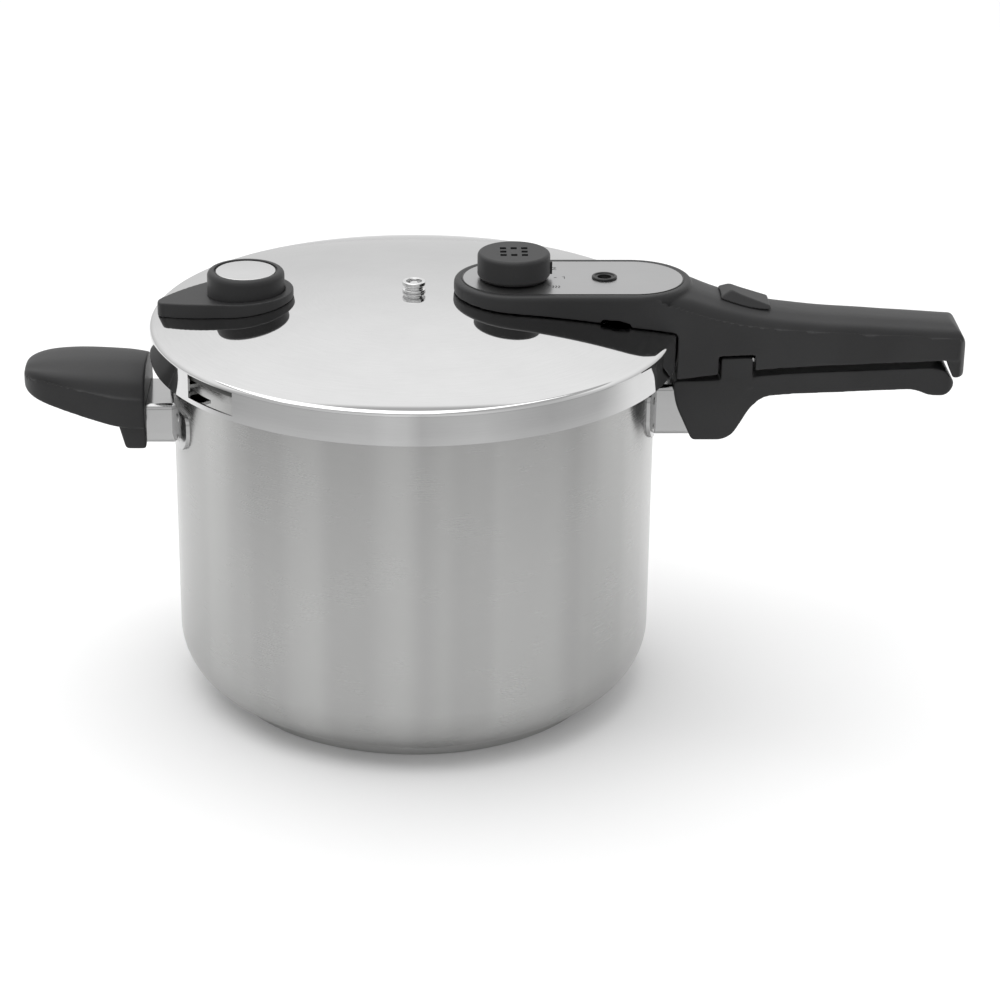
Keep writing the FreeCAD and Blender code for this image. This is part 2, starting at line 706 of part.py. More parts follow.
def safety_plunger():
    """Spring-loaded plunger; its tip shows in the top of the valve."""
    return spin([
        (0, 182.65, 0), (3.2, 182.65, 0.3), (3.2, 183.9, 0.2), (2.0, 183.9, 0), (2.0, 193.8, 0.7), (0, 193.8, 0),
    ])


# ---------------------------------------------------------------- auxiliary grip opposite the handle

def grip_side(low):
    """Side outline of the auxiliary grip's base, with its slightly falling top."""
    top = Part.Arc(V(-120, 0, 183.9), V(-92, 0, 188.9), V(-52, 0, 190.9)).toShape()
    edges = [
        top,
        Part.makeLine(V(-52, 0, 190.9), V(-52, 0, low)),
        Part.makeLine(V(-52, 0, low), V(-120, 0, low)),
        Part.makeLine(V(-120, 0, low), V(-120, 0, 183.9)),
    ]
    return prism_y(Part.Face(Part.Wire(edges)), 40)


def grip_base():
    """Teardrop base that follows the dome."""
    round_r, tip_r, tip_x = 21.5, 6.0, -110.4
    lean = math.asin((round_r - tip_r) / (GRIP_X - tip_x))
    bulge = 1.6
    start = V(GRIP_X - round_r * math.sin(lean), round_r * math.cos(lean), 0)
    finish = V(tip_x - tip_r * math.sin(lean), tip_r * math.cos(lean), 0)
    middle = (start + finish) * 0.5 + V(-bulge * math.sin(lean), bulge * math.cos(lean), 0)
    mirror = [V(p.x, -p.y, 0) for p in (start, middle, finish)]
    edges = [
        Part.Arc(start, middle, finish).toShape(),
        Part.Arc(finish, V(tip_x - tip_r, 0, 0), mirror[2]).toShape(),
        Part.Arc(mirror[2], mirror[1], mirror[0]).toShape(),
        Part.Arc(mirror[0], V(GRIP_X + round_r, 0, 0), start).toShape(),
    ]
    plan = Part.Face(Part.Wire(edges)).translated(V(0, 0, 170)).extrude(V(0, 0, 40))
    solid = plan.common(grip_side(160))
    seat = drum(17.6, 188.4, 200, GRIP_X)
    return over_lid(solid.cut(joined([seat, drum(2.5, 150, 200, GRIP_X)])))


def grip_cap():
    """Round cap screwed to the base from under the lid."""
    bottom, top = 188.4, 199.8
    cap = spin([
        (2.0, bottom, 0), (17.5, bottom, 0), (17.5, top, 2.4), (14.3, top, 0.3), (14.3, top - 0.8, 0),
        (13.6, top - 0.8, 0), (13.6, top - 1.6, 0), (0, top - 1.6, 0), (0, 197.0, 0), (2.0, 197.0, 0),
    ], GRIP_X)
    return cap


def grip_disc():
    """Bright inlay in the top of the cap."""
    return spin([(0, 198.2, 0), (13.6, 198.2, 0), (13.6, 199.5, 0.4), (0, 199.8, 0)], GRIP_X)


def grip_screw():
    """Screw that holds the cap and its base to the lid."""
    return screw((GRIP_X, 0, 181.4), (0, 0, 1), SCREW_R, 15.4, 4.6, 2.8)


# ---------------------------------------------------------------- lid lock

def lock_button():
    """Thumb slider on the neck, with its stem through the slot."""
    wedge = rounded_face("xz", [
        (136.6, -3.0, 0), (138.2, 1.6, 2), (142.0, 4.4, 2.5), (146.5, 3.4, 5), (160.8, 1.4, 1.2), (162.6, -3.0, 0),
    ])
    plan = rounded_face("xy", [(135.5, -6.5, 5), (142.5, -11.0, 7), (161.5, -10.0, 3.5), (163, 0, 12),
                               (161.5, 10.0, 3.5), (142.5, 11.0, 7), (135.5, 6.5, 5)])
    roof = rounded_face("yz", [(-12.0, -3.2, 0), (-9.6, -1.0, 2), (-4.6, 4.6, 3), (4.6, 4.6, 3), (9.6, -1.0, 2),
                               (12.0, -3.2, 0)])
    top = prism_y(wedge, 20).common(plan.translated(V(0, 0, -5)).extrude(V(0, 0, 20)))
    top = top.common(roof.translated(V(120, 0, 0)).extrude(V(60, 0, 0)))
    lean = math.radians(NECK_TILT)
    neck = handle_blank(0.3)
    clear_of_neck = tilted(top)
    for way in (0, 0.5 * LOCK_TRAVEL, LOCK_TRAVEL):
        clear_of_neck = clear_of_neck.cut(neck.translated(V(-way * math.cos(lean), 0, way * math.sin(lean))))
    stem = slope_block((145.6, 152.6), (-2.9, 2.9), (-4.6, 2.0))
    return joined([clear_of_neck, stem]).cut(tilted(drum(1.0, -6, 1.0, 149.0)))


def lock_bolt():
    """Latch under the neck: a bar below the button and a finger that enters the stop tab."""
    bar = slope_block((143.0, 163.4), (-5.0, 5.0), (-6.2, -4.7))
    bar = bar.cut(tilted(drum(1.0, -8, 1.0, 149.0)))
    bridge = slope_block((159.4, 163.4), (-9.4, 5.0), (-6.2, -4.7))
    riser = block((158.6, 161.8), (-9.4, -8.0), (161.2, 178.0))
    foot = block((158.6, 161.8), (-14.9, -8.0), (161.2, 162.8))
    finger = block((148.6, 161.8), (-14.9, -13.3), (161.2, 162.8))
    return joined([bar, bridge, riser, foot, finger])


def lock_screw():
    """Screw that joins the bolt to the button."""
    body = joined([drum(1.0, -6.2, 0.6, 149.0), drum(1.9, -7.3, -6.2, 149.0)])
    return tilted(body)


def lock_spring():
    """Spring that pushes the bolt back into the stop tab."""
    lean = math.radians(NECK_TILT)
    return coil((163.9, 0, 177.6), (math.cos(lean), 0, -math.sin(lean)), 2.0, 0.3, 8.4, 5)


def main():
    """Builds and writes every piece."""
    pieces = {
        "pot_body": pot_body(),
        "base_cap": base_cap(),
        "base_core": base_core(),
        "main_bracket": main_bracket(),
        "lower_handle": lower_handle(),
        "lower_handle_screw": screw((129.0, 0, 126.0), (0, 0, 1), SCREW_R, 9.0, 4.0, 1.1),
        "helper_bracket": helper_bracket(),
        "helper_handle": helper_handle(),
        "helper_screw": screw((-131.0, 0, 131.8), (1, 0, 0), SCREW_R + 0.4, 12.0, 4.2, 2.6),
        "sealing_ring": sealing_ring(),
        "lid_shell": lid_shell(),
        "lid_handle": lid_handle(),
        "handle_cover": handle_cover(),
        "handle_cover_screws": handle_cover_screws(),
        "control_plate": control_plate(),
        "lid_bracket": lid_bracket(),
        "lid_handle_screw": lid_handle_screw(),
        "valve_body": valve_body(),
        "valve_nut": valve_nut(),
        "valve_washer": conical_washer(VALVE_X, 10.6, 7.0, 183.6),
        "valve_spring": valve_spring(),
        "valve_piston": valve_piston(),
        "piston_seal": piston_seal(),
        "knob_core": knob_core(),
        "knob_cap": knob_cap(),
        "indicator_bezel": indicator_bezel(),
        "indicator_housing": indicator_housing(),
        "indicator_gasket": over_lid(tube(7.0, 4.6, 178, 185.9, INDICATOR_X)),
        "indicator_nut": hexagon(13.0, 177.0, 180.2, INDICATOR_X).cut(drum(4.5, 170, 190, INDICATOR_X)),
        "indicator_washer": conical_washer(INDICATOR_X, 7.2, 4.6, 180.2),
        "indicator_pin": indicator_pin(),
        "indicator_seal": tube(3.8, 2.2, 170.1, 171.3, INDICATOR_X),
        "safety_body": safety_body(),
        "safety_nut": hexagon(12.0, 183.6, 186.8).cut(drum(4.5, 170, 190)),
        "safety_washer": conical_washer(SAFETY_X, 7.0, 4.6, 186.8),
        "safety_spring": coil((SAFETY_X, 0, 183.95), (0, 0, 1), 2.7, 0.3, 8.0, 5),
        "safety_plunger": safety_plunger(),
        "grip_base": grip_base(),
        "grip_cap": grip_cap(),
        "grip_disc": grip_disc(),
        "grip_screw": grip_screw(),
        "grip_washer": conical_washer(GRIP_X, 6.5, 2.7, 181.4),
        "lock_button": lock_button(),
        "lock_bolt": lock_bolt(),
        "lock_screw": lock_screw(),
        "lock_spring": lock_spring(),
    }
    for name, shape in pieces.items():
        save(name, shape)


if __name__ == "__main__":
    main()
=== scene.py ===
"""Looks of a stovetop pressure cooker: finishes, surface details, studio and camera around its CAD frame."""

import json
import logging
import math
from dataclasses import dataclass
from enum import Enum
from typing import Any, Sequence, Union

import bmesh
import bpy
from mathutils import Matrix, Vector

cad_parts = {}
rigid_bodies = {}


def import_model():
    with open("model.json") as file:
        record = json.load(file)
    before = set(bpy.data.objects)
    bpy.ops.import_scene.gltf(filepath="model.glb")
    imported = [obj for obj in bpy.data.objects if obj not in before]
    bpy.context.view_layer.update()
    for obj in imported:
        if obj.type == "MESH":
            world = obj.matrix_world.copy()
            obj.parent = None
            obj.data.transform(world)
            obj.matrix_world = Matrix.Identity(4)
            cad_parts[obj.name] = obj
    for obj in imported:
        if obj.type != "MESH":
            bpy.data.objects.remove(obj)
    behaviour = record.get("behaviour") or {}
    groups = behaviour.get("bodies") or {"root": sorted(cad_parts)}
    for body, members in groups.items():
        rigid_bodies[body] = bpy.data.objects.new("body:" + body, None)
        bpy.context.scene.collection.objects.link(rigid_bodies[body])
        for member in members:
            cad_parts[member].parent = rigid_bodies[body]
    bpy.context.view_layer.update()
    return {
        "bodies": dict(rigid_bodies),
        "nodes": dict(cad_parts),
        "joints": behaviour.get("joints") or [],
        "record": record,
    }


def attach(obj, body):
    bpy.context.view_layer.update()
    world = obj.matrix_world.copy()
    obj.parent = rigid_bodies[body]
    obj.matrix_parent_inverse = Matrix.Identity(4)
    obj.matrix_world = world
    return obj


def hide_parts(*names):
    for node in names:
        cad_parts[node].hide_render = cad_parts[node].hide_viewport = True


LOG = logging.getLogger("cooker")
MM = 0.001

Colour = tuple[float, float, float]
Operand = Union["Signal", float, int, Sequence[float]]


# ---------------------------------------------------------------- shader maths


class Signal:
    """One output socket of a shader node, for use in ordinary expressions."""

    def __init__(self, tree: bpy.types.NodeTree, socket: bpy.types.NodeSocket) -> None:
        """Keeps the node tree and the socket.

        Args:
            tree: The node tree that new nodes are added to.
            socket: The output socket that carries the value.
        """
        self.tree = tree
        self.socket = socket

    @property
    def is_vector(self) -> bool:
        """Whether the socket carries a vector or a colour."""
        return self.socket.type in {"VECTOR", "RGBA"}

    def combine(self, operation: str, *others: Operand, swapped: bool = False) -> "Signal":
        """Adds a Math or Vector Math node.

        Args:
            operation: The node's operation.
            others: The other operands.
            swapped: Whether the first of the others comes before this signal.

        Returns:
            The node's result.
        """
        operands: list[Operand] = [self, *others]
        if swapped:
            operands[0], operands[1] = operands[1], operands[0]
        vector = any(isinstance(item, Signal) and item.is_vector for item in operands)
        vector = vector or any(isinstance(item, (tuple, list, Vector)) for item in operands)
        node = self.tree.nodes.new("ShaderNodeVectorMath" if vector else "ShaderNodeMath")
        node.operation = operation
        for place, item in enumerate(operands):
            plug(self.tree, item, node.inputs[place])
        return Signal(self.tree, node.outputs[0])

    def __add__(self, other: Operand) -> "Signal":
        """self + other."""
        return self.combine("ADD", other)

    def __radd__(self, other: Operand) -> "Signal":
        """other + self."""
        return self.combine("ADD", other, swapped=True)

    def __sub__(self, other: Operand) -> "Signal":
        """self - other."""
        return self.combine("SUBTRACT", other)

    def __rsub__(self, other: Operand) -> "Signal":
        """other - self."""
        return self.combine("SUBTRACT", other, swapped=True)

    def __mul__(self, other: Operand) -> "Signal":
        """self * other."""
        return self.combine("MULTIPLY", other)

    def __rmul__(self, other: Operand) -> "Signal":
        """other * self."""
        return self.combine("MULTIPLY", other, swapped=True)

    def __truediv__(self, other: Operand) -> "Signal":
        """self / other."""
        return self.combine("DIVIDE", other)


def plug(tree: bpy.types.NodeTree, item: Operand, socket: bpy.types.NodeSocket) -> None:
    """Links a signal to an input socket, or sets the socket's own value.

    Args:
        tree: The node tree.
        item: A signal, a number or a list of numbers.
        socket: The input socket.
    """
    if isinstance(item, Signal):
        tree.links.new(item.socket, socket)
        return
    if not hasattr(socket.default_value, "__len__"):
        socket.default_value = item
        return
    size = len(socket.default_value)
    values = [float(item)] * min(size, 3) if isinstance(item, (int, float)) else list(item)
    socket.default_value = (values + [1.0])[:size]


class Graph:
    """A node tree under construction."""

    def __init__(self, tree: bpy.types.NodeTree) -> None:
        """Starts from an empty tree.

        Args:
            tree: The tree of a material or of the world.
        """
        self.tree = tree
        self.tree.nodes.clear()

    def node(
        self,
        kind: str,
        inputs: dict[Union[str, int], Operand] | None = None,
        output: Union[str, int] = 0,
        stops: Sequence[tuple[float, float]] = (),
        **settings: Any,
    ) -> Signal:
        """Adds any node.

        Args:
            kind: The node's type.
            inputs: Values or links of its sockets, by name or place.
            output: The output socket to return, by name or place.
            stops: Places and grey levels of a colour ramp.
            settings: Properties of the node, which are set first.

        Returns:
            The chosen output.
        """
        made = self.tree.nodes.new(kind)
        for name, value in settings.items():
            setattr(made, name, value)
        if stops:
            elements = made.color_ramp.elements
            while len(elements) < len(stops):
                elements.new(1.0)
            for element, (place, level) in zip(elements, stops):
                element.position = place
                element.color = (level, level, level, 1.0)
        for name, item in (inputs or {}).items():
            plug(self.tree, item, made.inputs[name])
        return Signal(self.tree, made.outputs[output] if made.outputs else None)

    def place(self) -> Signal:
        """The surface point in the piece's own frame, in metres."""
        return self.node("ShaderNodeTexCoord", output="Object")

    def parts(self, vector: Signal) -> tuple[Signal, Signal, Signal]:
        """The X, Y and Z of a vector."""
        split = self.node("ShaderNodeSeparateXYZ", {0: vector})
        outputs = split.socket.node.outputs
        return tuple(Signal(self.tree, outputs[axis]) for axis in range(3))

    def vector(self, x: Operand, y: Operand, z: Operand) -> Signal:
        """A vector from three values."""
        return self.node("ShaderNodeCombineXYZ", {0: x, 1: y, 2: z})

    def noise(self, vector: Signal, scale: float, detail: float = 2.0, roughness: float = 0.5) -> Signal:
        """Smooth noise between 0 and 1.

        Args:
            vector: Where the noise is read.
            scale: Lumps per metre.
            detail: Number of finer layers.
            roughness: Strength of the finer layers.

        Returns:
            The noise value.
        """
        sockets = {"Vector": vector, "Scale": scale, "Detail": detail, "Roughness": roughness}
        return self.node("ShaderNodeTexNoise", sockets)

    def ramp(self, value: Signal, low: float, high: float, start: float = 0.0, end: float = 1.0) -> Signal:
        """Maps low..high to start..end with soft ends.

        Args:
            value: The value to map.
            low: Where the result is `start`.
            high: Where the result is `end`.
            start: Result at and below `low`.
            end: Result at and above `high`.

        Returns:
            The mapped value.
        """
        sockets = {"Value": value, "From Min": low, "From Max": high, "To Min": start, "To Max": end}
        return self.node("ShaderNodeMapRange", sockets, interpolation_type="SMOOTHSTEP")

    def blend(self, factor: Operand, first: Colour, second: Colour) -> Signal:
        """A colour between two others.

        Args:
            factor: 0 for the first, 1 for the second.
            first: A colour.
            second: A colour.

        Returns:
            The mixed colour.
        """
        made = self.node("ShaderNodeMix", {0: factor}, data_type="RGBA").socket.node
        plug(self.tree, first, made.inputs[6])
        plug(self.tree, second, made.inputs[7])
        return Signal(self.tree, made.outputs[2])


class Paint(Graph):
    """A material under construction around one Principled shader."""

    def __init__(self, name: str, **constants: Operand) -> None:
        """Starts the material.

        Args:
            name: The material's name.
            constants: Values of the shader's own sockets, with underscores for spaces.
        """
        self.material = bpy.data.materials.new(name)
        self.material.use_nodes = True
        super().__init__(self.material.node_tree)
        sockets = {key.replace("_", " "): value for key, value in constants.items()}
        self.shader = self.node("ShaderNodeBsdfPrincipled", sockets).socket.node
        self.node("ShaderNodeOutputMaterial", {0: Signal(self.tree, self.shader.outputs[0])})

    def feed(self, socket: str, item: Operand) -> None:
        """Links or sets one socket of the shader."""
        plug(self.tree, item, self.shader.inputs[socket])

    def relief(self, height: Signal, depth: float, strength: float = 1.0) -> None:
        """Bumps the surface.

        Args:
            height: Height from 0 to 1.
            depth: What a height of 1 stands for, in metres.
            strength: Strength of the bump.
        """
        sockets = {"Height": height, "Distance": depth, "Strength": strength}
        self.feed("Normal", self.node("ShaderNodeBump", sockets))


# ---------------------------------------------------------------- finishes


class Grain(Enum):
    """The way a metal's fine lines run."""

    ROUND = "round the vertical axis"
    ALONG = "along X"


@dataclass(frozen=True)
class Steel:
    """Stainless steel with fine lines, from satin to mirror bright, with optional painted reflection bands in
    its colour.
    """

    colour: Colour
    roughness: float
    grain: Grain = Grain.ROUND
    line_pitch: float = 0.35 * MM
    line_depth: float = 0.0
    uneven: float = 0.02
    # columns: share of painted reflection, upright light and dark bands fixed on the piece that stand in for
    # the surroundings mirrored in brushed steel
    columns: float = 0.0
    stretch: float = 0.0
    stretch_turn: float = 0.25

    def make(self, name: str) -> bpy.types.Material:
        """Builds the material.

        Args:
            name: The material's name.

        Returns:
            The material.
        """
        paint = Paint(name, Metallic=1.0, Anisotropic=self.stretch, Anisotropic_Rotation=self.stretch_turn)
        x, y, z = paint.parts(paint.place())
        if self.grain is Grain.ALONG:
            lines = paint.vector(x * 6.0, y / self.line_pitch * 0.2, z * 40.0)
        else:
            reach = (x * x + y * y).combine("SQRT")
            around = y.combine("ARCTAN2", x)
            across = (z + reach) / self.line_pitch * 0.2
            lines = paint.vector(around.combine("COSINE") * 1.4, around.combine("SINE") * 1.4, across)
        streaks = paint.noise(lines, 5.0, 3.0, 0.65)
        clouds = paint.noise(paint.place(), 38.0, 3.0, 0.55)
        shade = paint.ramp(streaks * 0.55 + clouds * 0.45, 0.3, 0.7)
        # Painted reflection: upright light and dark bands, fixed on the piece, mixed into the colour in the
        # share given by columns
        if self.columns > 0:
            upright = paint.noise(paint.vector(x * 11.0, y * 11.0, 0.0), 2.4, 2.0, 0.6)
            shade = shade * (1.0 - self.columns) + paint.ramp(upright, 0.38, 0.62) * self.columns
        # The darker tone deepens with the painted reflection bands
        dark = tuple(level * (0.94 - 0.12 * self.columns) for level in self.colour)
        paint.feed("Base Color", paint.blend(shade, dark, self.colour))
        paint.feed("Roughness", self.roughness + self.uneven * (clouds - 0.5) + self.uneven * (streaks - 0.5))
        if self.line_depth > 0:
            paint.relief(streaks, self.line_depth)
        return paint.material


@dataclass(frozen=True)
class Moulding:
    """Moulded black plastic with a fine eroded grain."""

    colour: Colour = (0.021, 0.021, 0.0215)
    roughness: float = 0.46
    grain_pitch: float = 0.45 * MM
    grain_depth: float = 0.02 * MM

    def make(self, name: str) -> bpy.types.Material:
        """Builds the material.

        Args:
            name: The material's name.

        Returns:
            The material.
        """
        paint = Paint(name, Specular_IOR_Level=0.26)
        here = paint.place()
        grain = paint.noise(here, 1.0 / self.grain_pitch, 2.0, 0.6)
        clouds = paint.noise(here, 30.0, 2.0)
        light = tuple(level * 1.35 for level in self.colour)
        shade = paint.ramp(clouds * 0.6 + grain * 0.4, 0.3, 0.7)
        paint.feed("Base Color", paint.blend(shade, self.colour, light))
        paint.feed("Roughness", self.roughness + 0.10 * (grain - 0.5) + 0.08 * (clouds - 0.5))
        paint.relief(grain, self.grain_depth, 0.6)
        return paint.material


@dataclass(frozen=True)
class Rubber:
    """Smooth silicone or rubber with faint mottling."""

    colour: Colour
    roughness: float = 0.5

    def make(self, name: str) -> bpy.types.Material:
        """Builds the material.

        Args:
            name: The material's name.

        Returns:
            The material.
        """
        paint = Paint(name, Specular_IOR_Level=0.45)
        mottle = paint.noise(paint.place(), 220.0, 3.0)
        dark = tuple(level * 0.8 for level in self.colour)
        paint.feed("Base Color", paint.blend(paint.ramp(mottle, 0.3, 0.7), dark, self.colour))
        paint.feed("Roughness", self.roughness + 0.12 * (mottle - 0.5))
        paint.relief(mottle, 0.02 * MM, 0.5)
        return paint.material


class Finish(Enum):
    """The finishes by the record's material slots, with extra ones for printed and shaded details."""

    # The pot's steel carries painted reflection bands (columns) in its colour, besides its real brushed grain
    POT_STEEL = ("pot_steel", Steel((0.45, 0.45, 0.445), 0.27, line_pitch=0.5 * MM, line_depth=0.0004 * MM,
                                    columns=0.75, stretch=0.93))
    MIRROR_STEEL = ("mirror_steel", Steel((0.62, 0.62, 0.62), 0.035, uneven=0.01))
    BASE_STEEL = ("base_steel", Steel((0.52, 0.52, 0.515), 0.26, line_pitch=0.4 * MM, line_depth=0.004 * MM))
    BRACKET_STEEL = ("mirror_steel", Steel((0.40, 0.40, 0.40), 0.14, Grain.ALONG, 0.4 * MM, 0.002 * MM))
    CORE = ("core_aluminium", Steel((0.75, 0.75, 0.76), 0.35, line_depth=0.003 * MM))
    BLACK_PLASTIC = ("black_plastic", Moulding())
    INNER_PLASTIC = ("inner_plastic", Moulding((0.03, 0.03, 0.03), 0.4, 0.6 * MM, 0.01 * MM))
    PLATE = ("plate_silver", Steel((0.40, 0.40, 0.402), 0.30, Grain.ALONG, 0.3 * MM, 0.003 * MM))
    DISC = ("disc_silver", Steel((0.60, 0.60, 0.60), 0.32, Grain.ALONG, 0.3 * MM, 0.002 * MM))
    SILICONE = ("grey_silicone", Rubber((0.035, 0.035, 0.033), 0.42))
    RUBBER = ("black_rubber", Rubber((0.02, 0.02, 0.02), 0.5))
    TURNED = ("machined_steel", Steel((0.58, 0.58, 0.58), 0.22, Grain.ROUND, 0.2 * MM, 0.003 * MM))
    BEZEL = ("bezel_dark", Moulding((0.008, 0.008, 0.008), 0.3, 0.8 * MM, 0.002 * MM))
    CHROME = ("chrome_fitting", Steel((0.70, 0.70, 0.70), 0.06))
    FASTENER = ("fastener_steel", Steel((0.52, 0.52, 0.52), 0.3, Grain.ROUND, 0.2 * MM, 0.004 * MM))
    SPRING = ("spring_steel", Steel((0.5, 0.5, 0.51), 0.25))

    def __init__(self, slot: str, recipe: Any) -> None:
        """Keeps the record's slot and the recipe."""
        self.slot = slot
        self.recipe = recipe

    def material(self) -> bpy.types.Material:
        """The finish's one material, made on first use."""
        name = f"{self.name.lower()}_finish"
        return bpy.data.materials.get(name) or self.recipe.make(name)


# ---------------------------------------------------------------- mesh helpers


def to_object(name: str, shape: bmesh.types.BMesh, smooth_below: float = 35.0) -> bpy.types.Object:
    """Turns built geometry into an object.

    Args:
        name: The piece's name.
        shape: The geometry, in metres in the cooker's frame.
        smooth_below: Edges sharper than this many degrees stay sharp.

    Returns:
        The new object.
    """
    bmesh.ops.recalc_face_normals(shape, faces=shape.faces)
    mesh = bpy.data.meshes.new(name)
    shape.to_mesh(mesh)
    shape.free()
    mesh.shade_smooth()
    mesh.set_sharp_from_angle(angle=math.radians(smooth_below))
    made = bpy.data.objects.new(name, mesh)
    bpy.context.scene.collection.objects.link(made)
    return made


def sweep(
    shape: bmesh.types.BMesh,
    route: Sequence[Vector],
    section: Sequence[tuple[float, float]],
    closed: bool = False,
    up: Vector = Vector((0, 0, 1)),
) -> None:
    """Sweeps a closed section along a route.

    Args:
        shape: Where the faces go.
        route: Points of the route.
        section: Points as (sideways, upward) from the route.
        closed: Whether the route joins its own start.
        up: The section's upward direction.
    """
    rings = []
    count = len(route)
    for index, point in enumerate(route):
        before = route[index - 1] if closed or index else point
        after = route[(index + 1) % count] if closed or index < count - 1 else point
        ahead = (after - before).normalized()
        side = ahead.cross(up).normalized()
        rings.append([shape.verts.new(point + side * a + up * b) for a, b in section])
    pairs = zip(rings, rings[1:] + rings[:1]) if closed else zip(rings, rings[1:])
    size = len(section)
    for first, second in pairs:
        for k in range(size):
            shape.faces.new((first[k], first[(k + 1) % size], second[(k + 1) % size], second[k]))
    if not closed:
        shape.faces.new(rings[0])
        shape.faces.new(list(reversed(rings[-1])))


def round_section(radius: float, sides: int = 10, flat: float = 1.0) -> list[tuple[float, float]]:
    """A round or squashed section.

    Args:
        radius: Half its width.
        sides: Number of points.
        flat: Height over width.

    Returns:
        The section's points.
    """
    turns = [2 * math.pi * k / sides for k in range(sides)]
    return [(radius * math.cos(turn), radius * flat * math.sin(turn)) for turn in turns]


def circle(centre: Vector, radius: float, steps: int = 96) -> list[Vector]:
    """Points of a level circle.

    Args:
        centre: Its middle.
        radius: Its radius.
        steps: Number of points.

    Returns:
        The points in order.
    """
    turns = [2 * math.pi * k / steps for k in range(steps)]
    return [centre + Vector((radius * math.cos(turn), radius * math.sin(turn), 0)) for turn in turns]


def ring_sector(
    shape: bmesh.types.BMesh,
    radii: tuple[float, float],
    levels: tuple[float, float],
    centre: float,
    span: float,
) -> None:
    """Adds a piece of a flat ring.

    Args:
        shape: Where the faces go.
        radii: Inner and outer radius.
        levels: Lower and upper height.
        centre: Plan angle of its middle, in degrees.
        span: Its width in degrees.
    """
    steps = max(4, round(span / 2))
    corners = [(radii[0], levels[0]), (radii[1], levels[0]), (radii[1], levels[1]), (radii[0], levels[1])]
    rows = []
    for k in range(steps + 1):
        turn = math.radians(centre - span / 2 + span * k / steps)
        rows.append([shape.verts.new((r * math.cos(turn), r * math.sin(turn), z)) for r, z in corners])
    for first, second in zip(rows, rows[1:]):
        for k in range(4):
            shape.faces.new((first[k], first[(k + 1) % 4], second[(k + 1) % 4], second[k]))
    shape.faces.new(rows[0])
    shape.faces.new(list(reversed(rows[-1])))


# ---------------------------------------------------------------- the cooker


class Piece:
    """Shared ways to place a finished piece."""

    def __init__(self, frame: dict[str, Any]) -> None:
        """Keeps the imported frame.
        """
        self.frame = frame

    def node(self, name: str) -> bpy.types.Object:
        """The CAD node of that name."""
        return self.frame["nodes"][name]

    def fit(self, thing: bpy.types.Object, body: str, finish: Finish) -> bpy.types.Object:
        """Gives a new piece its finish and the body that it rides.

        Args:
            thing: The new piece.
            body: The CAD body it moves with.
            finish: Its finish.

        Returns:
            The same piece.
        """
        thing.data.materials.clear()
        thing.data.materials.append(finish.material())
        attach(thing, body)
        LOG.info("%s rides %s in %s", thing.name, body, finish.slot)
        return thing


class CadDress(Piece):
    """Gives every CAD node the finish of its slot, and softens the moulded ones."""

    OWN = {
        "main_bracket": Finish.BRACKET_STEEL,
        "helper_bracket": Finish.BRACKET_STEEL,
    }
    MOULDED = {
        "lid_handle": (0.45, 14),
        "lower_handle": (0.45, 12),
        "helper_handle": (0.45, 24),
        "grip_base": (0.40, 8),
        "lock_button": (0.30, 24),
    }

    def dress(self) -> None:
        """Assigns the finishes."""
        finishes = {finish.slot: finish for finish in reversed(Finish)}
        for row in self.frame["record"]["subparts"]:
            node = self.node(row["node"])
            finish = self.OWN.get(row["node"], finishes[row["material_slot"]])
            node.data.materials.clear()
            node.data.materials.append(finish.material())
            for face in node.data.polygons:
                face.material_index = 0
            LOG.info("%s in %s", row["node"], finish.slot)

    def soften(self) -> None:
        """Rounds the edges of the large mouldings a little."""
        for name, (voxel, rounds) in self.MOULDED.items():
            node = self.node(name)
            remesh = node.modifiers.new("even mesh", "REMESH")
            remesh.mode = "VOXEL"
            remesh.voxel_size = voxel * MM
            remesh.use_smooth_shade = True
            smooth = node.modifiers.new("soft edges", "SMOOTH")
            smooth.factor = 0.5
            smooth.iterations = rounds


@dataclass(frozen=True)
class LidSizes:
    """Sizes of the lid's shell, in millimetres and degrees."""

    outer: float = 120.0
    apex: float = 189.8
    dome: float = 588.0
    shoulder: float = 2.5
    wall: float = 1.0
    foot: float = 162.6
    lug_inner: float = 113.3
    lug_levels: tuple[float, float] = (162.9, 164.3)
    lug_phase: float = -99.0
    lug_span: float = 36.0
    lugs: int = 6
    window_turns: tuple[float, float] = (215.25, 229.75)
    window_levels: tuple[float, float] = (164.8, 175.6)
    holes: tuple[tuple[float, float], ...] = ((45.0, 7.0), (86.0, 4.6), (0.0, 4.6), (-76.0, 2.7))


